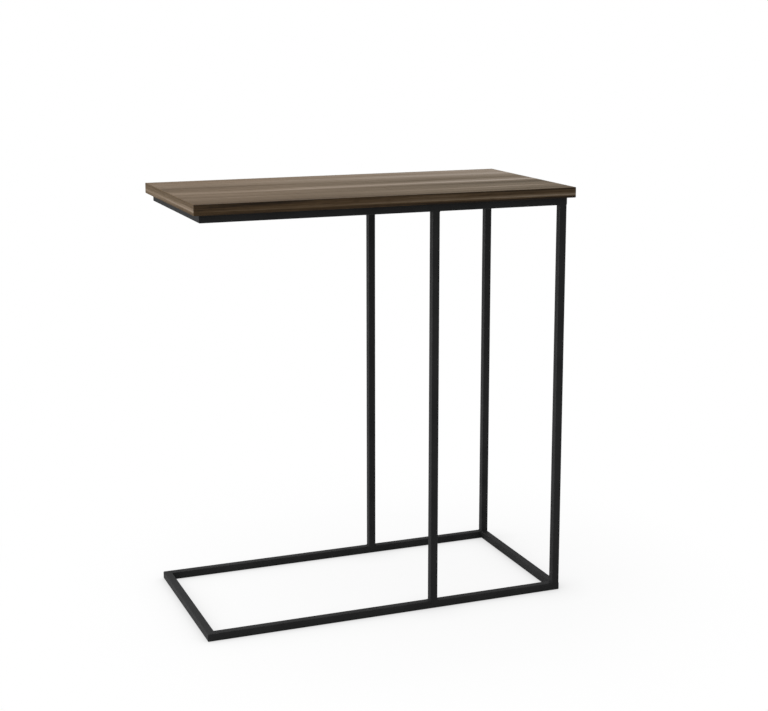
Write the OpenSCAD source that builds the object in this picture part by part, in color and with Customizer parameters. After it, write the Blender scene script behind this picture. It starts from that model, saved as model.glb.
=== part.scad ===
// C-shaped side table: a faced board screwed onto a welded frame of square steel tube.
// X runs along the length, and the side that slides over a sofa faces -X.
// Y runs across the width, Z runs up from the floor, and the origin is the middle of the footprint.

/* [Table] */
// Length of the table top
top_l = 600; // [450:10:800]
// Width of the table top
top_w = 300; // [200:10:450]
// Height of the table top over the floor
table_h = 650; // [450:10:800]

/* [Table top] */
// Thickness of the finished board
board_t = 16; // [12:1:28]
// Thickness of the decor sheet pressed onto each face of the board
decor_t = 0.3; // [0.2:0.1:0.8]
// Thickness of the edge bands
band_t = 1; // [0.5:0.1:2]
// Radius of the board's outer edges, no more than the edge bands are thick
arris_r = 0.8; // [0.3:0.1:1]
// How far the board stands out past the frame, on every side
overhang = 10; // [0:1:30]

/* [Tube] */
// Outer width of the square tube
tube_w = 12; // [10:1:25]
// Wall of the square tube
tube_wall = 1.2; // [1:0.1:2]
// Radius of the tube's outer corners
tube_r = 1.5; // [0.8:0.1:2]
// Radius of the tube's inner corners
tube_bore_r = 0.3; // [0.2:0.1:1]

/* [Posts] */
// Clear gap between the inner pair of posts and the end pair
bay_gap = 200; // [120:10:280]

/* [Welds] */
// Leg of the weld beads
weld_leg = 1.2; // [1:0.1:3]

/* [Screws] */
// Outer diameter of the screw thread
screw_d = 3.5; // [3:0.1:4.5]
// Depth of the screw thread
thread_depth = 0.6; // [0.4:0.1:0.8]
// Pitch of the screw thread
thread_pitch = 1.6; // [1.2:0.1:2.4]
// Length of the screw's point
point_l = 3; // [2:0.5:4]
// Board left over the screw's point
screw_cover = 3; // [2:0.5:5]
// Diameter of the screw head
head_d = 7; // [6:0.5:9]
// Height of the screw head
head_h = 2.4; // [2:0.1:3]
// Radius round the rim of the screw head
head_edge_r = 1; // [0.5:0.1:1.5]
// Length of each arm pair of the cross recess
recess_l = 4; // [3:0.1:4.5]
// Width of the arms of the cross recess
recess_w = 0.9; // [0.6:0.1:1.2]
// Depth of the cross recess
recess_depth = 1.4; // [1:0.1:1.6]
// Radial clearance of the screw in the tube's upper wall
tube_hole_clear = 0.25; // [0.1:0.05:0.5]
// Radial clearance of the screw head in the hole in the tube's lower wall
head_hole_clear = 0.5; // [0.2:0.1:0.8]
// Radial clearance of the thread in the board, and at its point
pilot_clear = 0.05; // [0.02:0.01:0.2]
// Distance of the screws from both ends of the long span
screw_inset = 60; // [30:5:90]

/* [Hidden] */
$fn = 48;

walnut = "#7b6b5c";
chipboard = "#b89b74";
powder_black = "#1f1f20";
zinc = "#b4b6b8";

// Heights of the stack, from the floor up
board_z = table_h - board_t;
top_rail_z = board_z - tube_w;
post_l = top_rail_z - tube_w;

// The two rectangles of tube lie the overhang in from the board's edges
frame_l = top_l - 2 * overhang;
frame_w = top_w - 2 * overhang;

// Post centres
end_post_x = frame_l / 2 - tube_w / 2;
inner_post_x = end_post_x - tube_w - bay_gap;
post_y = frame_w / 2 - tube_w / 2;

// Screws: two in the long span left of the inner posts, one in the middle of the bay
screw_x = [
    screw_inset - frame_l / 2,
    inner_post_x - tube_w / 2 - screw_inset,
    (inner_post_x + end_post_x) / 2
];
screw_l = tube_wall + board_t - screw_cover;

// Core of the board, inside the decor sheets and the edge bands
core_l = top_l - 2 * band_t;
core_w = top_w - 2 * band_t;
core_t = board_t - 2 * decor_t;

// Length of a weld, on the flat between the tube's round corners
weld_l = tube_w - 2 * tube_r;
// Size of the flush weld that fills the hollow beside a rail's round corner, short of its feather edge
flush_l = 0.75 * tube_r;

module rounded_rect(w, h, r) {
    square([w, h - 2 * r], center = true);
    square([w - 2 * r, h], center = true);
    for (x = [-1, 1], y = [-1, 1])
        translate([x * (w / 2 - r), y * (h / 2 - r)])
            circle(r);
}

// Helpers for the tube

module tube(length) {
    // Stands on z = 0, centred on the Z axis
    bore_w = tube_w - 2 * tube_wall;
    linear_extrude(length)
        difference() {
            rounded_rect(tube_w, tube_w, tube_r);
            rounded_rect(bore_w, bore_w, tube_bore_r);
        }
}

module mitred_rail(length) {
    // Lies on z = 0 along X, outer face on y = 0, both ends mitred at 45 degrees
    intersection() {
        translate([-length / 2, tube_w / 2, tube_w / 2])
            rotate([0, 90, 0])
                tube(length);
        linear_extrude(tube_w)
            polygon([
                [-length / 2, 0],
                [length / 2, 0],
                [length / 2 - tube_w, tube_w],
                [tube_w - length / 2, tube_w]
            ]);
    }
}

module long_rail(side) {
    // side is -1 for the front and 1 for the back
    rotate([0, 0, side < 0 ? 0 : 180])
        translate([0, -frame_w / 2, 0])
            mitred_rail(frame_l);
}

module short_rail(side) {
    // side is -1 for the left end and 1 for the right end
    rotate([0, 0, 90 * side])
        translate([0, -frame_l / 2, 0])
            mitred_rail(frame_w);
}

module post(x, side) {
    color(powder_black)
        translate([x, side * post_y, tube_w])
            tube(post_l);
}

// Helpers for the screws

module screw_holes(radius, z, depth) {
    // Round holes upwards from z, one for each screw
    for (x = screw_x, side = [-1, 1])
        translate([x, side * post_y, z])
            cylinder(h = depth, r = radius);
}

module screw_profile() {
    core_r = screw_d / 2 - thread_depth;
    thread_l = screw_l - tube_wall - point_l;
    // Pan head below z = 0, round at its rim
    translate([0, -head_h])
        square([head_d / 2 - head_edge_r, head_h]);
    translate([0, head_edge_r - head_h])
        square([head_d / 2, head_h - head_edge_r]);
    translate([head_d / 2 - head_edge_r, head_edge_r - head_h])
        circle(head_edge_r);
    // Plain shank through the tube's upper wall, core of the thread and point
    square([screw_d / 2, tube_wall]);
    square([core_r, screw_l - point_l]);
    polygon([[0, screw_l - point_l], [core_r, screw_l - point_l], [0, screw_l]]);
    // Thread, drawn as rings
    for (i = [0:floor(thread_l / thread_pitch) - 1])
        translate([0, tube_wall + i * thread_pitch])
            polygon([
                [0, 0],
                [core_r, 0],
                [screw_d / 2, thread_pitch / 2],
                [core_r, thread_pitch],
                [0, thread_pitch]
            ]);
}

module screw() {
    // Head below z = 0, thread upwards
    difference() {
        rotate_extrude()
            screw_profile();
        for (turn = [0, 90])
            rotate([0, 0, turn])
                translate([-recess_l / 2, -recess_w / 2, -head_h - 1])
                    cube([recess_l, recess_w, recess_depth + 1]);
    }
}

// Helpers for the welds

module bead_section() {
    // A bead in an inner corner, quarter-round
    intersection() {
        circle(weld_leg);
        square(weld_leg);
    }
}

module flush_section() {
    // The weld under a post's outer face, ground flush with the post and the rail
    rotate(180)
        difference() {
            square(flush_l);
            translate([tube_r, tube_r])
                circle(tube_r);
        }
}

module along_faces(x, y, sides) {
    // Runs a weld's section along the foot of each face that sides lists by its direction
    for (side = sides)
        translate([x, y, 0])
            rotate([90, 0, side])
                translate([tube_w / 2, 0, 0])
                    linear_extrude(weld_l, center = true)
                        children();
}

module post_welds() {
    // The welds at z = 0 round all four posts, which stand on rails below z = 0
    for (y = [-1, 1]) {
        along_faces(inner_post_x, y * post_y, [0, 180]) bead_section();
        along_faces(inner_post_x, y * post_y, [90, -90]) flush_section();
        along_faces(end_post_x, y * post_y, [180, -90 * y]) bead_section();
        along_faces(end_post_x, y * post_y, [0, 90 * y]) flush_section();
    }
}

module corner_beads(z) {
    // One upright bead in each inner corner of a tube rectangle that lies at z
    for (x = [-1, 1], y = [-1, 1])
        translate([x * (frame_l / 2 - tube_w), y * (frame_w / 2 - tube_w), z + tube_r])
            linear_extrude(weld_l)
                mirror([x > 0 ? 1 : 0, 0])
                    mirror([0, y > 0 ? 1 : 0])
                        bead_section();
}

// Table top

module board_outline() {
    // The finished board, with every outer edge rounded
    r = min(arris_r, band_t);
    translate([0, 0, board_z + board_t / 2])
        intersection() {
            linear_extrude(board_t, center = true)
                rounded_rect(top_l, top_w, r);
            rotate([90, 0, 0])
                linear_extrude(top_w, center = true)
                    rounded_rect(top_l, board_t, r);
            rotate([0, 90, 0])
                linear_extrude(top_l, center = true)
                    rounded_rect(board_t, top_w, r);
        }
}

module tabletop_core() {
    color(chipboard)
        difference() {
            translate([-core_l / 2, -core_w / 2, board_z + decor_t])
                cube([core_l, core_w, core_t]);
            screw_holes(screw_d / 2 + pilot_clear, board_z, screw_l - tube_wall + pilot_clear);
        }
}

module decor_sheet(z) {
    translate([-core_l / 2, -core_w / 2, z])
        cube([core_l, core_w, decor_t]);
}

module tabletop_decor_upper() {
    color(walnut)
        decor_sheet(table_h - decor_t);
}

module tabletop_decor_lower() {
    color(walnut)
        difference() {
            decor_sheet(board_z);
            screw_holes(screw_d / 2 + pilot_clear, board_z - 1, decor_t + 2);
        }
}

module long_edge_band(side) {
    color(walnut)
        intersection() {
            board_outline();
            translate([-top_l / 2, side < 0 ? -top_w / 2 : core_w / 2, board_z])
                cube([top_l, band_t, board_t]);
        }
}

module short_edge_band(side) {
    color(walnut)
        intersection() {
            board_outline();
            translate([side < 0 ? -top_l / 2 : core_l / 2, -core_w / 2, board_z])
                cube([band_t, core_w, board_t]);
        }
}

module edge_band_front() long_edge_band(-1);

module edge_band_back() long_edge_band(1);

module edge_band_left() short_edge_band(-1);

module edge_band_right() short_edge_band(1);

module tabletop_screws() {
    // The heads lie inside the tube, against its upper wall
    color(zinc)
        for (x = screw_x, side = [-1, 1])
            translate([x, side * post_y, board_z - tube_wall])
                screw();
}

// Top rectangle of the frame

module drilled_top_rail(side) {
    // Drilled for the screws through its upper wall, and wider through its lower wall for their heads
    middle_z = top_rail_z + tube_w / 2;
    color(powder_black)
        difference() {
            translate([0, 0, top_rail_z])
                long_rail(side);
            screw_holes(screw_d / 2 + tube_hole_clear, middle_z, tube_w);
            screw_holes(head_d / 2 + head_hole_clear, middle_z - tube_w, tube_w);
        }
}

module top_rail_front() drilled_top_rail(-1);

module top_rail_back() drilled_top_rail(1);

module top_rail_left() {
    color(powder_black)
        translate([0, 0, top_rail_z])
            short_rail(-1);
}

module top_rail_right() {
    color(powder_black)
        translate([0, 0, top_rail_z])
            short_rail(1);
}

// Base rectangle of the frame

module base_rail_front() color(powder_black) long_rail(-1);

module base_rail_back() color(powder_black) long_rail(1);

module base_rail_left() color(powder_black) short_rail(-1);

module base_rail_right() color(powder_black) short_rail(1);

// Posts

module post_inner_front() post(inner_post_x, -1);

module post_inner_back() post(inner_post_x, 1);

module post_end_front() post(end_post_x, -1);

module post_end_back() post(end_post_x, 1);

// Welds

module base_corner_welds() color(powder_black) corner_beads(0);

module top_corner_welds() color(powder_black) corner_beads(top_rail_z);

module post_foot_welds() {
    color(powder_black)
        translate([0, 0, tube_w])
            post_welds();
}

module post_head_welds() {
    color(powder_black)
        translate([0, 0, top_rail_z])
            mirror([0, 0, 1])
                post_welds();
}

tabletop_core();
tabletop_decor_upper();
tabletop_decor_lower();
edge_band_front();
edge_band_back();
edge_band_left();
edge_band_right();
top_rail_front();
top_rail_back();
top_rail_left();
top_rail_right();
base_rail_front();
base_rail_back();
base_rail_left();
base_rail_right();
post_inner_front();
post_inner_back();
post_end_front();
post_end_back();
base_corner_welds();
top_corner_welds();
post_foot_welds();
post_head_welds();
tabletop_screws();
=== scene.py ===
"""A C-shaped sofa side table: a walnut-look board screwed onto a welded frame of black square tube."""

import math

import bmesh
import bpy
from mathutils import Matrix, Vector


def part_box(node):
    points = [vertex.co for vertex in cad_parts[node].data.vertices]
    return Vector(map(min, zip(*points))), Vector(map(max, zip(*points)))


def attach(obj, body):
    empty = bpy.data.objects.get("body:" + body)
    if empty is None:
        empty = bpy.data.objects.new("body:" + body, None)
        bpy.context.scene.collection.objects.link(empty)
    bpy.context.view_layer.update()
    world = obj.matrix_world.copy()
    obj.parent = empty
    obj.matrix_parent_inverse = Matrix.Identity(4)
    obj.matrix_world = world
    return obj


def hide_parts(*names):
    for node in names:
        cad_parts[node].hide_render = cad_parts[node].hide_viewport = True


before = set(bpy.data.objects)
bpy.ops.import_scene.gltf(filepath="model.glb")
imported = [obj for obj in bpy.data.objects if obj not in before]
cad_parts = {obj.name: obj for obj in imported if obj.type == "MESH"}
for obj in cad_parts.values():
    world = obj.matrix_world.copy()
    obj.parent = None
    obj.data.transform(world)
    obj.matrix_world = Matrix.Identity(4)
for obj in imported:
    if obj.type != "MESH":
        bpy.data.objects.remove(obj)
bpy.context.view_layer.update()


# The camera stands a little over two metres in front of the table and to its left, higher than its top,
# and looks slightly down. Its place was worked out from the edges of the table in the photograph.
# Its heading, towards the right, and its tilt, downwards, are in radians.
CAMERA_PLACE = (-0.8307, -2.2286, 0.9169)
CAMERA_HEADING = 0.3737
CAMERA_TILT = 0.183
CAMERA_LENS = 72.3
CAMERA_SENSOR = 36
CAMERA_SHIFT = -0.0788

camera_data = bpy.data.cameras.new("camera")
camera_data.lens = CAMERA_LENS
camera_data.sensor_width = CAMERA_SENSOR
camera_data.shift_y = CAMERA_SHIFT
camera = bpy.data.objects.new("camera", camera_data)
camera.location = CAMERA_PLACE
camera.rotation_euler = (math.pi / 2 - CAMERA_TILT, 0, -CAMERA_HEADING)
bpy.context.scene.collection.objects.link(camera)
bpy.context.scene.camera = camera


# The base rails: four lengths of cold-rolled steel tube, 12 mm square with 1.2 mm walls and rolled corners.
# Their ends are sawn at 45 degrees, butted and welded, and the welds on the outside are ground flush.
# The finished frame is powder-coated satin black, which leaves a fine orange peel on the steel.
TUBE_WALL = 0.0012
TUBE_CORNER = 0.0015
TUBE_CORNER_STEPS = 6
SEAM_WIDTH = 0.00012
SMOOTH_ANGLE = math.radians(40)
X_AXIS, Y_AXIS, Z_AXIS = 0, 1, 2
# Two directions are parallel from this cosine up, and a point is on a plane within this distance of it.
PARALLEL = 0.99
TOUCHING = 1e-6
# The rails of a rectangle, by side: the axis that a rail runs along, and the way that its outer side looks.
RAIL_SIDES = {
    "front": (X_AXIS, Vector((0, -1, 0))),
    "back": (X_AXIS, Vector((0, 1, 0))),
    "left": (Y_AXIS, Vector((-1, 0, 0))),
    "right": (Y_AXIS, Vector((1, 0, 0))),
}


class Field:
    """A number or a vector that varies over a surface. Sums and products of fields add their nodes."""

    def __init__(self, tree, socket):
        self.tree = tree
        self.socket = socket

    def math(self, operation, first, second):
        return self.tree.node("Math", {"operation": operation}, {0: first, 1: second})

    def __add__(self, other):
        return self.math("ADD", self, other)

    __radd__ = __add__

    def __sub__(self, other):
        return self.math("SUBTRACT", self, other)

    def __rsub__(self, other):
        return self.math("SUBTRACT", other, self)

    def __mul__(self, other):
        return self.math("MULTIPLY", self, other)

    __rmul__ = __mul__


class Tree:
    """The shader nodes of a material or of the world."""

    def __init__(self, node_tree):
        self.node_tree = node_tree

    def node(self, kind, settings=None, sockets=None, out=0):
        """Adds a node, sets it, feeds its sockets and gives one of its outputs."""
        made = self.node_tree.nodes.new("ShaderNode" + kind)
        for setting, value in (settings or {}).items():
            if setting == "stops":
                self.set_stops(made.color_ramp, value)
            elif setting == "interpolation":
                made.color_ramp.interpolation = value
            else:
                setattr(made, setting, value)
        for socket, value in (sockets or {}).items():
            self.feed(made.inputs[socket], value)
        return Field(self, made.outputs[out])

    def set_stops(self, ramp, stops):
        """Gives a new ramp its stops, each a place from 0 to 1 and a colour or a grey."""
        for place, _ in stops[2:]:
            ramp.elements.new(place)
        for element, (place, tone) in zip(ramp.elements, stops):
            element.position = place
            element.color = (*tone, 1) if isinstance(tone, tuple) else (tone, tone, tone, 1)

    def feed(self, socket, value):
        """Links a field to a socket, or sets the socket to a plain value."""
        if isinstance(value, Field):
            self.node_tree.links.new(value.socket, socket)
        else:
            socket.default_value = value

    def ramp(self, value, stops, interpolation="LINEAR"):
        """The colour or grey that a ramp gives for a value."""
        return self.node("ValToRGB", {"stops": stops, "interpolation": interpolation}, {"Fac": value})

    def step(self, value, low, high):
        """0 where the value is under low, 1 where it is over high, and even between."""
        return self.node("MapRange", sockets={"Value": value, "From Min": low, "From Max": high})


class Finish(Tree):
    """A material, built on its Principled shader."""

    def __init__(self, name, **constants):
        self.material = bpy.data.materials.new(name)
        self.material.use_nodes = True
        super().__init__(self.material.node_tree)
        self.shader = self.node_tree.nodes["Principled BSDF"]
        for socket, value in constants.items():
            self.shader.inputs[socket.replace("_", " ")].default_value = value

    def vary(self, socket, value):
        """Makes a socket of the shader follow a field."""
        self.feed(self.shader.inputs[socket], value)

    def point(self, turn=(0, 0, 0), shift=(0, 0, 0)):
        """Where on the piece a ray lands, with the pattern turned and then shifted."""
        place = self.node("TexCoord", out="Object")
        return self.node("Mapping", sockets={"Vector": place, "Rotation": turn, "Location": shift})

    def noise(self, point, per_metre, detail=2.0, roughness=0.5):
        """Clouds round 0.5, with so many of them to the metre along each axis."""
        scaled = self.node("Mapping", sockets={"Vector": point, "Scale": per_metre})
        sockets = {"Vector": scaled, "Scale": 1.0, "Detail": detail, "Roughness": roughness}
        return self.node("TexNoise", sockets=sockets)

    def relief(self, height, depth):
        """Turns a height from 0 to 1 into bumps of that depth."""
        sockets = {"Height": height, "Distance": depth, "Strength": 1.0}
        self.vary("Normal", self.node("Bump", sockets=sockets))


def black_powder_coat():
    """Satin black polyester powder, with an orange peel of about a millimetre and a finer grain."""
    finish = Finish("satin_black_powder", Specular_IOR_Level=0.4)
    point = finish.point()
    peel = finish.noise(point, (900, 900, 900))
    grain = finish.noise(point, (3500, 3500, 3500), detail=1.0)
    clouds = finish.noise(point, (25, 25, 25), detail=1.0)
    blacks = [(0.3, (0.0155, 0.0157, 0.0161)), (0.7, (0.0255, 0.0257, 0.0263))]
    finish.vary("Base Color", finish.ramp(0.7 * clouds + 0.3 * grain, blacks))
    finish.vary("Roughness", 0.34 + 0.2 * peel)
    finish.relief(0.85 * peel + 0.15 * grain, depth=0.00018)
    return finish.material


def select_only(*pieces):
    """Selects these pieces and nothing else, and makes the first the active one."""
    bpy.ops.object.select_all(action="DESELECT")
    for piece in pieces:
        piece.select_set(True)
    bpy.context.view_layer.objects.active = pieces[0]


def start_box(name, low, high):
    """A box between two corners, left in edit mode."""
    bpy.ops.object.select_all(action="DESELECT")
    bpy.ops.mesh.primitive_cube_add(size=1, location=(low + high) / 2, scale=high - low)
    bpy.ops.object.transform_apply(location=True, rotation=True, scale=True)
    piece = bpy.context.object
    piece.name = name
    bpy.ops.object.mode_set(mode="EDIT")
    return piece


def pick(piece, kind, wanted):
    """Selects, of the piece's verts, edges or faces, those that are wanted, and nothing else."""
    bpy.ops.mesh.select_mode(type={"verts": "VERT", "edges": "EDGE", "faces": "FACE"}[kind])
    bpy.ops.mesh.select_all(action="DESELECT")
    mesh = bmesh.from_edit_mesh(piece.data)
    for element in getattr(mesh, kind):
        if wanted(element):
            element.select_set(True)
    mesh.select_flush_mode()
    bmesh.update_edit_mesh(piece.data)


def runs_along(edge, axis):
    """Whether an edge is parallel to an axis."""
    run = edge.verts[1].co - edge.verts[0].co
    return abs(run[axis]) > PARALLEL * run.length


def apply_modifier(piece, kind, **settings):
    """Adds a modifier to the piece and applies it at once."""
    modifier = piece.modifiers.new(kind.lower(), kind)
    for setting, value in settings.items():
        setattr(modifier, setting, value)
    bpy.context.view_layer.objects.active = piece
    bpy.ops.object.modifier_apply(modifier=modifier.name)


def complete(piece, material, slot, *nodes):
    """Smooths a finished piece over its round corners, gives it its material, and hides the CAD nodes that
    it stands in for.
    """
    select_only(piece)
    bpy.ops.object.shade_smooth_by_angle(angle=SMOOTH_ANGLE)
    apply_modifier(piece, "WEIGHTED_NORMAL", keep_sharp=True)
    piece.data.materials.clear()
    piece.data.materials.append(material)
    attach(piece, "root")
    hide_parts(*nodes)


def square_tube(node, axis):
    """A length of tube in the place of a CAD node, with both ends square and open, left in edit mode."""
    low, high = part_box(node)
    tube = start_box(node + "_tube", low, high)
    pick(tube, "edges", lambda edge: runs_along(edge, axis))
    bpy.ops.mesh.bevel(offset=TUBE_CORNER, segments=TUBE_CORNER_STEPS, affect="EDGES")
    pick(tube, "faces", lambda face: abs(face.normal[axis]) > PARALLEL)
    bpy.ops.mesh.delete(type="ONLY_FACE")
    bpy.ops.object.mode_set(mode="OBJECT")
    apply_modifier(tube, "SOLIDIFY", thickness=TUBE_WALL, offset=-1, use_even_offset=True, use_rim=True)
    bpy.ops.object.mode_set(mode="EDIT")
    return tube


def mitre(rail, corner, inward):
    """Saws the rail at 45 degrees through an outer corner, and leaves a fine groove round the cut's rim."""
    bpy.ops.mesh.select_all(action="SELECT")
    bpy.ops.mesh.bisect(plane_co=corner, plane_no=inward, use_fill=True, clear_inner=True)
    normal = inward.normalized()

    def on_rim(edge):
        """Whether an edge lies between the cut's own face and a wall of the tube."""
        on_cut = all(abs((vert.co - corner).dot(normal)) < TOUCHING for vert in edge.verts)
        cut_faces = [abs(face.normal.dot(normal)) > PARALLEL for face in edge.link_faces]
        return on_cut and any(cut_faces) and not all(cut_faces)

    pick(rail, "edges", on_rim)
    bpy.ops.mesh.bevel(offset=SEAM_WIDTH, segments=2, affect="EDGES")


def mitred_rail(node, axis, outward):
    """A rail whose outer side looks outward, mitred at both ends."""
    low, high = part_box(node)
    rail = square_tube(node, axis)
    for end in (-1, 1):
        along = Vector((0, 0, 0))
        along[axis] = end
        to_corner = along + outward
        corner = Vector([high[index] if to_corner[index] > 0 else low[index] for index in range(3)])
        mitre(rail, corner, outward - along)
    bpy.ops.object.mode_set(mode="OBJECT")
    return rail


coat = black_powder_coat()

for side, (axis, outward) in RAIL_SIDES.items():
    node = "base_rail_" + side
    complete(mitred_rail(node, axis, outward), coat, "black_powder_coat", node)


# The welds inside the corners of the base: a short upright bead of weld metal in each of the four inner
# corners, as thick as the tube's wall, run while the mitred rails are clamped in a jig. The coat covers
# the beads' ripples.
BEAD_LEG = TUBE_WALL
BEAD_LENGTH = 0.009
BEAD_SIDES = 32
BEAD_RIPPLES = 9
RINGS_PER_RIPPLE = 4
# The width of a ring by its number in its ripple, and what the last rings at each end are narrowed by.
RIPPLE_WIDTHS = {2: 0.97, 3: 0.92, 0: 0.9}
END_WIDTHS = {0: 0.6, 1: 0.88}


def start_bead():
    """A bead along Y at the origin, in the corner between faces that look to +X and to +Z."""
    bpy.ops.object.select_all(action="DESELECT")
    bpy.ops.mesh.primitive_cylinder_add(
        vertices=BEAD_SIDES, radius=BEAD_LEG, depth=BEAD_LENGTH, rotation=(math.pi / 2, 0, 0)
    )
    bpy.ops.object.transform_apply(location=True, rotation=True, scale=True)
    made = bpy.context.object
    rings = RINGS_PER_RIPPLE * BEAD_RIPPLES

    def ring(vert):
        """The number of the ring that a vertex is on, counted from one end of the bead."""
        return round((vert.co.y / BEAD_LENGTH + 0.5) * rings)

    bpy.ops.object.mode_set(mode="EDIT")
    pick(made, "edges", lambda edge: runs_along(edge, Y_AXIS))
    bpy.ops.mesh.subdivide(number_cuts=rings - 1)
    for number, width in RIPPLE_WIDTHS.items():
        pick(made, "verts", lambda vert: ring(vert) % RINGS_PER_RIPPLE == number)
        bpy.ops.transform.resize(value=(width, 1, width))
    for number, width in END_WIDTHS.items():
        pick(made, "verts", lambda vert: ring(vert) in (number, rings - number))
        bpy.ops.transform.resize(value=(width, 1, width))
    for normal in ((1, 0, 0), (0, 0, 1)):
        bpy.ops.mesh.select_all(action="SELECT")
        bpy.ops.mesh.bisect(plane_co=(0, 0, 0), plane_no=normal, use_fill=True, clear_inner=True)
    bpy.ops.object.mode_set(mode="OBJECT")
    return made


def copy_of(piece, place, turn):
    """A copy of a piece with its own mesh, turned about the origin and then moved."""
    select_only(piece)
    bpy.ops.object.duplicate(linked=False)
    copy = bpy.context.object
    copy.rotation_euler = turn
    copy.location = place
    bpy.ops.object.transform_apply(location=True, rotation=True, scale=True)
    return copy


def join(name, pieces):
    """Makes one piece of several."""
    select_only(*pieces)
    bpy.ops.object.join()
    pieces[0].name = name
    return pieces[0]


def corner_welds(rectangle):
    """An upright bead in each inner corner of the base or the top rectangle of rails."""
    rails = {side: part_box(rectangle + "_rail_" + side) for side in RAIL_SIDES}
    x_low, x_high = rails["left"][1].x, rails["right"][0].x
    y_low, y_high = rails["front"][1].y, rails["back"][0].y
    z = (rails["front"][0].z + rails["front"][1].z) / 2
    corners = (
        ((x_low, y_high, z), 0),
        ((x_low, y_low, z), 90),
        ((x_high, y_low, z), 180),
        ((x_high, y_high, z), -90),
    )
    beads = [copy_of(bead, place, (math.pi / 2, 0, math.radians(turn))) for place, turn in corners]
    return join(rectangle + "_corner_beads", beads)


bead = start_bead()
complete(corner_welds("base"), coat, "black_powder_coat", "base_corner_welds")


# The posts: four lengths of the same tube, sawn square. One pair closes the end of the frame, and the other
# stands 200 mm in from it, which leaves the rest of the base free to slide under a sofa.
POSTS = ("post_inner_front", "post_inner_back", "post_end_front", "post_end_back")

for node in POSTS:
    post = square_tube(node, Z_AXIS)
    bpy.ops.object.mode_set(mode="OBJECT")
    complete(post, coat, "black_powder_coat", node)


# The welds at the posts' feet: a bead on each side where a rail runs on past the post, and weld metal that
# fills the hollow beside the rail's round corner where the two are flush, ground level with both.
# The sides with a bead are given in degrees, anticlockwise from the right as seen from above.
BEADS_OF_POST = {
    "post_inner_front": (0, 180),
    "post_inner_back": (0, 180),
    "post_end_front": (180, 90),
    "post_end_back": (180, -90),
}


def post_welds(name, at_foot):
    """The welds of all four posts, at their feet or at their heads."""
    pieces = []
    for node, sides in BEADS_OF_POST.items():
        low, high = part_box(node)
        z = low.z if at_foot else high.z
        middle = Vector(((low.x + high.x) / 2, (low.y + high.y) / 2, z))
        half = (high.x - low.x) / 2
        for side in sides:
            angle = math.radians(side)
            place = middle + half * Vector((math.cos(angle), math.sin(angle), 0))
            pieces.append(copy_of(bead, place, (0 if at_foot else math.pi, 0, angle)))
        fill_low = Vector((low.x, low.y, z - TUBE_CORNER if at_foot else z))
        fill_high = Vector((high.x, high.y, z if at_foot else z + TUBE_CORNER))
        fill = start_box("fill", fill_low, fill_high)
        pick(fill, "edges", lambda edge: runs_along(edge, Z_AXIS))
        bpy.ops.mesh.bevel(offset=TUBE_CORNER, segments=TUBE_CORNER_STEPS, affect="EDGES")
        bpy.ops.object.mode_set(mode="OBJECT")
        pieces.append(fill)
    return join(name, pieces)


complete(post_welds("post_foot_beads", at_foot=True), coat, "black_powder_coat", "post_foot_welds")


# The top rails: the same rectangle again, on the heads of the posts. The two long ones are drilled for the
# screws, 4 mm through the upper wall and 8 mm through the lower wall, so that the heads go inside the tube.
SCREW_XS = (-0.230, 0.006, 0.178)
SCREW_HOLE_RADIUS = 0.002
HEAD_HOLE_RADIUS = 0.004
HOLE_SIDES = 48
DRILL_OVERSHOOT = 0.001


def drill(piece, x, y, low_z, high_z, radius):
    """Cuts an upright round hole between two heights."""
    bpy.ops.object.select_all(action="DESELECT")
    depth = high_z - low_z
    middle = (x, y, (low_z + high_z) / 2)
    bpy.ops.mesh.primitive_cylinder_add(vertices=HOLE_SIDES, radius=radius, depth=depth, location=middle)
    bit = bpy.context.object
    apply_modifier(piece, "BOOLEAN", object=bit, operation="DIFFERENCE", solver="EXACT")
    bpy.data.objects.remove(bit)


for side, (axis, outward) in RAIL_SIDES.items():
    node = "top_rail_" + side
    rail = mitred_rail(node, axis, outward)
    if axis == X_AXIS:
        low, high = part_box(node)
        middle = (low + high) / 2
        for x in SCREW_XS:
            drill(rail, x, middle.y, middle.z, high.z + DRILL_OVERSHOOT, SCREW_HOLE_RADIUS)
            drill(rail, x, middle.y, low.z - DRILL_OVERSHOOT, middle.z, HEAD_HOLE_RADIUS)
    complete(rail, coat, "black_powder_coat", node)


# The welds of the top rectangle: upright beads in its inner corners, as in the base, and welds round the
# heads of the posts, under the rails.
complete(corner_welds("top"), coat, "black_powder_coat", "top_corner_welds")
complete(post_welds("post_head_beads", at_foot=False), coat, "black_powder_coat", "post_head_welds")
bpy.data.objects.remove(bead)


# The core of the board: chipboard, 15.4 mm thick, sawn to size. Decor sheets and edge bands cover it all
# round, so only its screw holes show it.
CHIPS_PER_METRE = 420.0


def chipboard():
    """Pressed wood chips of a few millimetres, pale and dark, with resin between them."""
    finish = Finish("pressed_chipboard", Roughness=0.85)
    point = finish.point()
    chips = {"Vector": point, "Scale": CHIPS_PER_METRE}
    colour = finish.node("TexVoronoi", {"feature": "F1"}, chips, out="Color")
    chip = finish.node("SeparateXYZ", sockets={0: colour})
    gaps = finish.node("TexVoronoi", {"feature": "DISTANCE_TO_EDGE"}, chips)
    fibres = finish.noise(point, (300, 2400, 2400))
    woods = [(0.15, (0.28, 0.17, 0.08)), (0.5, (0.5, 0.35, 0.19)), (0.85, (0.68, 0.53, 0.33))]
    finish.vary("Base Color", finish.ramp(0.6 * chip + 0.4 * fibres, woods))
    finish.relief(finish.step(gaps, 0.0, 0.08) * (0.6 + 0.4 * fibres), depth=0.00015)
    return finish.material


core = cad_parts["tabletop_core"]
core.data.materials.clear()
core.data.materials.append(chipboard())


# The decor sheets: printed paper in melamine resin, 0.3 mm thick, pressed onto both faces of the board.
# The print is a dark walnut whose grain runs the length of the table, and the press gives it fine pores.
SHEET_EDGE = 0.00008
SHEET_HOLE_RADIUS = 0.0018
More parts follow.
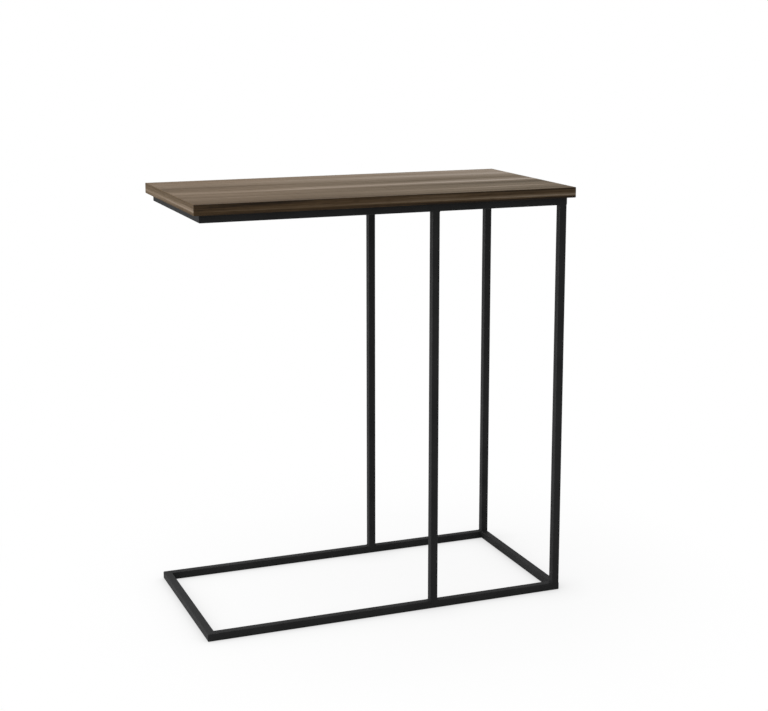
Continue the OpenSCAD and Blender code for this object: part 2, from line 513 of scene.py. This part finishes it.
# The main streaks of the print at its left and at its right, from front to back: the place and the tone.
# The right's streaks run lighter than the left's, partly the print and partly a painted sheen.
TOP_STREAKS_LEFT = [
    (0.0, 0.27), (0.09, 0.37), (0.17, 0.49), (0.26, 0.46), (0.35, 0.58), (0.46, 0.67),
    (0.53, 0.43), (0.64, 0.39), (0.75, 0.58), (0.87, 0.57), (0.93, 0.52), (1.0, 0.57),
]
TOP_STREAKS_RIGHT = [
    (0.0, 0.34), (0.09, 0.42), (0.16, 0.56), (0.25, 0.5), (0.35, 0.23), (0.41, 0.45), (0.465, 1.0),
    (0.53, 0.58), (0.61, 0.42), (0.7, 0.66), (0.78, 0.88), (0.87, 0.79), (0.95, 0.81), (1.0, 0.7),
]
# Where along the table the streaks of its left start and stop turning into those of its right. The painted
# sheen towards the right follows the same step.
LEFT_STOPS, RIGHT_STARTS = -0.22, 0.2
# The print's colours for tones from 0 to 1, in its redder and in its paler parts. The paler colours also
# carry the painted sheen towards the right.
REDDISH_TONES = [
    (0.0, (0.022, 0.01, 0.002)),
    (0.25, (0.093, 0.051, 0.018)),
    (0.5, (0.165, 0.109, 0.06)),
    (0.75, (0.267, 0.191, 0.127)),
    (1.0, (0.386, 0.305, 0.231)),
]
PALE_AND_SHEEN_TONES = [
    (0.0, (0.022, 0.012, 0.005)),
    (0.25, (0.085, 0.055, 0.024)),
    (0.5, (0.153, 0.112, 0.066)),
    (0.75, (0.246, 0.191, 0.14)),
    (1.0, (0.366, 0.305, 0.25)),
]

board_low, board_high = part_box("edge_band_front")[0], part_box("edge_band_back")[1]
long_rails = (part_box("top_rail_front"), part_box("top_rail_back"))
screw_places = [(x, (low.y + high.y) / 2) for low, high in long_rails for x in SCREW_XS]


def walnut(
    name, left_streaks, right_streaks, low, high, turn=(0, 0, 0), shift=(0, 0, 0), wander=0.02, painted_sheen=0.65
):
    """Printed walnut with its grain along the turned X. The main streaks are given from low to high across
    it, for its left and for its right part, and it turns paler and less red towards the right, a painted
    sheen."""
    finish = Finish(name, IOR=1.4)
    point = finish.point(turn, shift)
    along, straight, depth = (
        finish.node("SeparateXYZ", sockets={0: point}, out=index) for index in range(3)
    )
    drift = finish.noise(point, (1.7, 5, 5), detail=1.0)
    ripple = finish.noise(point, (9, 40, 40), detail=1.0)
    across = straight + wander * (drift - 0.5) + 0.12 * wander * (ripple - 0.5)
    grain = finish.node("CombineXYZ", sockets={0: along, 1: across, 2: depth})
    place = finish.step(across, low, high)
    left_main = finish.ramp(place, left_streaks, "EASE")
    right_main = finish.ramp(place, right_streaks, "EASE")
    right = finish.step(along, LEFT_STOPS, RIGHT_STARTS)
    bands = finish.noise(grain, (1.8, 70, 20))
    streaks = finish.noise(grain, (3.5, 170, 40), detail=1.0)
    lines = finish.noise(grain, (7, 480, 60), detail=3.0, roughness=0.65)
    hairs = finish.noise(grain, (30, 1900, 200), detail=1.0)
    veins = finish.step(finish.noise(grain, (2.5, 230, 50)), 0.58, 0.66)
    pores = finish.step(finish.noise(grain, (60, 1500, 300), detail=0.0), 0.62, 0.7)
    tone = 0.05 + left_main + right * (right_main - left_main)
    tone = tone + 0.45 * (bands - 0.5) + 0.5 * (streaks - 0.5) + 0.6 * (lines - 0.5) + 0.25 * (hairs - 0.5)
    tone = tone - 0.14 * veins - 0.12 * pores
    reddish = finish.ramp(tone, REDDISH_TONES)
    pale = finish.ramp(tone, PALE_AND_SHEEN_TONES)
    # The cloudy part of the paleness is the print's own; the share that grows towards the right is a
    # painted sheen.
    paleness_and_painted_sheen = 0.1 + painted_sheen * right + 1.2 * (finish.noise(grain, (1.2, 18, 5)) - 0.5)
    inks = {"Factor": paleness_and_painted_sheen, 6: reddish, 7: pale}
    finish.vary("Base Color", finish.node("Mix", {"data_type": "RGBA"}, inks, out=2))
    finish.vary("Roughness", 0.36 + 0.12 * lines + 0.15 * pores)
    finish.relief(0.5 * lines + 0.3 * hairs - 0.5 * pores, depth=0.00004)
    return finish.material


decor = walnut("walnut_print", TOP_STREAKS_LEFT, TOP_STREAKS_RIGHT, board_low.y, board_high.y)

for node in ("tabletop_decor_upper", "tabletop_decor_lower"):
    low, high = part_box(node)
    sheet = start_box(node + "_sheet", low, high)
    bpy.ops.mesh.select_all(action="SELECT")
    bpy.ops.mesh.bevel(offset=SHEET_EDGE, segments=1, affect="EDGES")
    bpy.ops.object.mode_set(mode="OBJECT")
    if node == "tabletop_decor_lower":
        for x, y in screw_places:
            drill(sheet, x, y, low.z - DRILL_OVERSHOOT, high.z + DRILL_OVERSHOOT, SHEET_HOLE_RADIUS)
    complete(sheet, decor, "walnut_decor", node)


# The edge bands: 1 mm strips of printed plastic, glued round the board with hot melt and trimmed flush.
# The two long bands cover the ends of the short ones, and the outer edges are milled round.
BAND_EDGE = 0.0008
BAND_EDGE_STEPS = 5
# Half the height of a band. Its streaks are given from its lower edge up, as the top's from the front.
HALF_BAND = 0.008
LONG_STREAKS_LEFT = [
    (0.0, 0.2), (0.16, 0.16), (0.25, 0.1), (0.375, 0.18),
    (0.5, 0.23), (0.625, 0.18), (0.75, 0.18), (1.0, 0.05),
]
LONG_STREAKS_RIGHT = [
    (0.0, 0.0), (0.16, 0.0), (0.25, 0.24), (0.375, 0.72),
    (0.48, 0.43), (0.625, 0.27), (0.75, 0.21), (1.0, 0.1),
]
SHORT_STREAKS_FRONT = [
    (0.0, 0.18), (0.16, 0.38), (0.25, 0.64), (0.38, 1.0), (0.5, 0.57), (0.7, 0.42), (1.0, 0.25),
]
SHORT_STREAKS_BACK = [
    (0.0, 0.18), (0.16, 0.38), (0.25, 0.52), (0.38, 0.8), (0.5, 0.46), (0.7, 0.32), (1.0, 0.18),
]


def band_print(name, left_streaks, right_streaks, turn):
    """The walnut print of a band, turned so that its grain runs along the band."""
    low, high = -HALF_BAND, HALF_BAND
    to_middle = (0, -(board_low.z + board_high.z) / 2, 0)
    # The bands also turn a little paler towards the right, a painted sheen.
    return walnut(name, left_streaks, right_streaks, low, high, turn, to_middle, wander=0.002, painted_sheen=0.25)


def on_board_outline(edge):
    """Whether an edge of a band lies on an outer edge of the whole board."""
    sides = 0
    for axis in (X_AXIS, Y_AXIS, Z_AXIS):
        for limit in (board_low[axis], board_high[axis]):
            if all(abs(vert.co[axis] - limit) < TOUCHING for vert in edge.verts):
                sides += 1
    return sides == 2


flat_on_front = (-math.pi / 2, 0, 0)
flat_on_side = (-math.pi / 2, -math.pi / 2, 0)
long_band = band_print("walnut_strip", LONG_STREAKS_LEFT, LONG_STREAKS_RIGHT, flat_on_front)
short_band = band_print("walnut_strip_ends", SHORT_STREAKS_FRONT, SHORT_STREAKS_BACK, flat_on_side)

for node, material in (
    ("edge_band_front", long_band),
    ("edge_band_back", long_band),
    ("edge_band_left", short_band),
    ("edge_band_right", short_band),
):
    band = start_box(node + "_strip", *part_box(node))
    pick(band, "edges", on_board_outline)
    bpy.ops.mesh.bevel(offset=BAND_EDGE, segments=BAND_EDGE_STEPS, affect="EDGES")
    bpy.ops.object.mode_set(mode="OBJECT")
    complete(band, material, "walnut_edge_band", node)


# The screws: six zinc-plated pan-head screws, 3.5 by 14 mm, cross-recessed. They go up through the holes in
# the top rails, seat inside the tube against its upper wall, and cut their thread in the chipboard.
HEAD_RADIUS = 0.0035
HEAD_HEIGHT = 0.0024
HEAD_RIM = 0.001
HEAD_RIM_STEPS = 6
SHANK_RADIUS = 0.00175
SCREW_LENGTH = 0.0142
SCREW_SIDES = 48
POINT_LENGTH = 0.003
THREAD_DEPTH = 0.0006
THREAD_PITCH = 0.0016
THREAD_TURNS = 6
THREAD_STEPS = 24
RECESS_LENGTH = 0.004
RECESS_WIDTH = 0.0009
RECESS_DEPTH = 0.0014
RECESS_OVERSHOOT = 0.0005
# As shares: the screw's tip of its shank, the thread's root of its pitch, its crest of its root, and the
# recess's bottom of its mouth.
TIP_WIDTH = 0.03
THREAD_ROOT = 0.8
THREAD_CREST = 0.1
RECESS_BOTTOM = 0.6
# How far each screw is driven round, in radians: the first one, and each one more than the last.
FIRST_TURN = 0.4
NEXT_TURN = 1.3


def zinc():
    """Bright zinc plating with a faint haze and fine turning marks."""
    finish = Finish("bright_zinc", Metallic=1.0)
    point = finish.point()
    haze = finish.noise(point, (700, 700, 700))
    marks = finish.noise(point, (200, 200, 9000), detail=1.0)
    greys = [(0.3, (0.47, 0.49, 0.52)), (0.7, (0.62, 0.63, 0.64))]
    finish.vary("Base Color", finish.ramp(0.6 * haze + 0.4 * marks, greys))
    finish.vary("Roughness", 0.26 + 0.2 * haze)
    finish.relief(marks, depth=0.00001)
    return finish.material


def extrude_up(height, narrowing=1.0):
    """Draws the selected face up, and narrows it."""
    bpy.ops.mesh.extrude_region_move(TRANSFORM_OT_translate={"value": (0, 0, height)})
    bpy.ops.transform.resize(value=(narrowing, narrowing, 1))


def start_screw():
    """One screw with its point up, its head's seat at the origin."""
    bpy.ops.object.select_all(action="DESELECT")
    bpy.ops.mesh.primitive_cylinder_add(
        vertices=SCREW_SIDES, radius=HEAD_RADIUS, depth=HEAD_HEIGHT, location=(0, 0, -HEAD_HEIGHT / 2)
    )
    bpy.ops.object.transform_apply(location=True, rotation=True, scale=True)
    made = bpy.context.object
    bpy.ops.object.mode_set(mode="EDIT")
    pick(made, "edges", lambda edge: all(vert.co.z < -HEAD_HEIGHT / 2 for vert in edge.verts))
    bpy.ops.mesh.bevel(offset=HEAD_RIM, segments=HEAD_RIM_STEPS, affect="EDGES")
    pick(made, "faces", lambda face: face.normal.z > PARALLEL)
    bpy.ops.mesh.inset(thickness=HEAD_RADIUS - SHANK_RADIUS)
    extrude_up(TUBE_WALL)
    bpy.ops.mesh.inset(thickness=THREAD_DEPTH)
    extrude_up(SCREW_LENGTH - TUBE_WALL - POINT_LENGTH)
    extrude_up(POINT_LENGTH, TIP_WIDTH)
    bpy.ops.object.mode_set(mode="OBJECT")
    for length, width in ((RECESS_LENGTH, RECESS_WIDTH), (RECESS_WIDTH, RECESS_LENGTH)):
        reach = Vector((length / 2, width / 2, 0))
        mouth = Vector((0, 0, -HEAD_HEIGHT - RECESS_OVERSHOOT))
        bottom = Vector((0, 0, RECESS_DEPTH - HEAD_HEIGHT))
        arm = start_box("arm", mouth - reach, bottom + reach)
        pick(arm, "faces", lambda face: face.normal.z > PARALLEL)
        bpy.ops.transform.resize(value=(RECESS_BOTTOM, RECESS_BOTTOM, 1))
        bpy.ops.object.mode_set(mode="OBJECT")
        apply_modifier(made, "BOOLEAN", object=arm, operation="DIFFERENCE", solver="EXACT")
        bpy.data.objects.remove(arm)
    return made


def start_thread():
    """The ridge of the thread: a low wedge wound up the shank, closed at both ends."""
    middle_x = SHANK_RADIUS - THREAD_DEPTH / 2
    middle = (middle_x, 0, TUBE_WALL + THREAD_PITCH / 2)
    bpy.ops.object.select_all(action="DESELECT")
    bpy.ops.mesh.primitive_plane_add(size=1, location=middle, rotation=(math.pi / 2, 0, 0))
    made = bpy.context.object
    made.scale = (THREAD_DEPTH, THREAD_ROOT * THREAD_PITCH, 1)
    bpy.ops.object.transform_apply(location=True, rotation=True, scale=True)
    bpy.ops.object.mode_set(mode="EDIT")
    pick(made, "verts", lambda vert: vert.co.x > middle_x)
    bpy.ops.transform.resize(value=(1, 1, THREAD_CREST))
    bpy.ops.mesh.select_all(action="SELECT")
    bpy.ops.mesh.delete(type="ONLY_FACE")
    bpy.ops.object.mode_set(mode="OBJECT")
    turns = {"iterations": THREAD_TURNS, "steps": THREAD_STEPS, "render_steps": THREAD_STEPS}
    apply_modifier(made, "SCREW", axis="Z", screw_offset=THREAD_PITCH, **turns)
    bpy.ops.object.mode_set(mode="EDIT")
    bpy.ops.mesh.select_all(action="SELECT")
    bpy.ops.mesh.fill_holes(sides=4)
    bpy.ops.mesh.normals_make_consistent(inside=False)
    bpy.ops.object.mode_set(mode="OBJECT")
    return made


screw = join("screw", [start_screw(), start_thread()])
seat_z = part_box("top_rail_front")[1].z - TUBE_WALL
screws = [
    copy_of(screw, (x, y, seat_z), (0, 0, FIRST_TURN + number * NEXT_TURN))
    for number, (x, y) in enumerate(screw_places)
]
bpy.data.objects.remove(screw)
complete(join("pan_head_screws", screws), zinc(), "zinc_screw", "tabletop_screws")


# The room: a pale floor under soft studio light, from one large lamp over the table, one as large at its
# left and a dim even surround. The camera sees white all round, while gloss mirrors a dimmer room, darkest
# in front. The floor keeps a faint shadow of the table, partly real light on its paper and partly painted
# shade in its glow.
WHITE = 1.0
SURROUND = 0.58
REFLECTED_BACK = 0.25
REFLECTED_FRONT = 0.14
# How far forwards or backwards a direction leans where the mirrored room stops changing.
REFLECTED_TURN = 0.4
# The place of each lamp, and how bright it makes a white card at the target that faces it.
LAMPS = {"top": ((-0.6, 0.1, 3.2), 0.55), "side": ((-3.2, 0.3, 1.1), 0.52)}
LAMP_TARGET = (0, 0, 0.4)
LAMP_SIZE = 2.2
FLOOR_SIZE = 12
FLOOR_PAPER = (0.97, 0.97, 0.97, 1)
FLOOR_BOUNCE = (0.3, 0.3, 0.3, 1)
# The floor is near the table within the first of these distances from the middle, and far from the second.
NEAR_STOPS, FAR_STARTS = 0.35, 0.65
# How much of the near floor is plain glow, beside paper that takes the shadow, and how much painted shadow
# darkens its glow.
NEAR_GLOW = 0.88
NEAR_PAINTED_SHADOW = 0.008
# The painted shade in the floor's glow close under the rails: its depth, its reach, and the rays that find
# it.
CONTACT_SHADE = 0.45
CONTACT_REACH = 0.06
CONTACT_RAYS = 16


def softbox(name, place, level):
    """A soft square lamp that makes a white card at the target, facing it, as bright as the level."""
    data = bpy.data.lights.new(name, "AREA")
    way = Vector(LAMP_TARGET) - Vector(place)
    data.shape = "SQUARE"
    data.size = LAMP_SIZE
    data.energy = level * math.pi ** 2 * way.length_squared
    lamp = bpy.data.objects.new(name, data)
    lamp.location = place
    lamp.rotation_euler = way.to_track_quat("-Z", "Y").to_euler()
    lamp.visible_camera = False
    bpy.context.scene.collection.objects.link(lamp)


def seen_by_camera(tree):
    """1 for what the camera sees, straight or through glass, and 0 for what all other rays meet."""
    return tree.node("LightPath", out="Is Camera Ray") + tree.node("LightPath", out="Is Transmission Ray")


for name, (place, level) in LAMPS.items():
    softbox(name, place, level)

world = bpy.data.worlds.new("room")
bpy.context.scene.world = world
world.use_nodes = True
room = Tree(world.node_tree)
seen = seen_by_camera(room)
mirrored = room.node("LightPath", out="Is Glossy Ray")
to_back = room.node("SeparateXYZ", sockets={0: room.node("TexCoord", out="Generated")}, out=1)
back = room.step(to_back, -REFLECTED_TURN, REFLECTED_TURN)
reflected = REFLECTED_FRONT + (REFLECTED_BACK - REFLECTED_FRONT) * back
strength = SURROUND + (WHITE - SURROUND) * seen + mirrored * (reflected - SURROUND)
background = world.node_tree.nodes["Background"]
background.inputs["Color"].default_value = (1, 1, 1, 1)
room.feed(background.inputs["Strength"], strength)

bpy.ops.object.select_all(action="DESELECT")
bpy.ops.mesh.primitive_plane_add(size=FLOOR_SIZE)
floor = bpy.context.object
floor.name = "floor"
paper = Finish("floor_paper")
seen = seen_by_camera(paper)
from_middle = paper.node("VectorMath", {"operation": "LENGTH"}, {0: paper.point()}, out="Value")
far = paper.step(from_middle, NEAR_STOPS, FAR_STARTS)
contact = paper.node("AmbientOcclusion", {"samples": CONTACT_RAYS}, {"Distance": CONTACT_REACH}, out="AO")
# The floor's glow is made darker near the table and close under the rails: painted shadow.
glow_with_painted_shade = WHITE - NEAR_PAINTED_SHADOW * (1 - far) - CONTACT_SHADE * (1 - contact)
glow = paper.node("Emission", sockets={"Color": (1, 1, 1, 1), "Strength": glow_with_painted_shade})
lit = paper.node("BsdfDiffuse", sockets={"Color": FLOOR_PAPER})
dim = paper.node("BsdfDiffuse", sockets={"Color": FLOOR_BOUNCE})
plain = NEAR_GLOW + (1 - NEAR_GLOW) * far
shown = paper.node("MixShader", sockets={0: plain, 1: lit, 2: glow})
surface = paper.node("MixShader", sockets={0: seen, 1: dim, 2: shown})
paper.feed(paper.node_tree.nodes["Material Output"].inputs["Surface"], surface)
floor.data.materials.append(paper.material)

bpy.context.scene.view_settings.view_transform = "Standard"
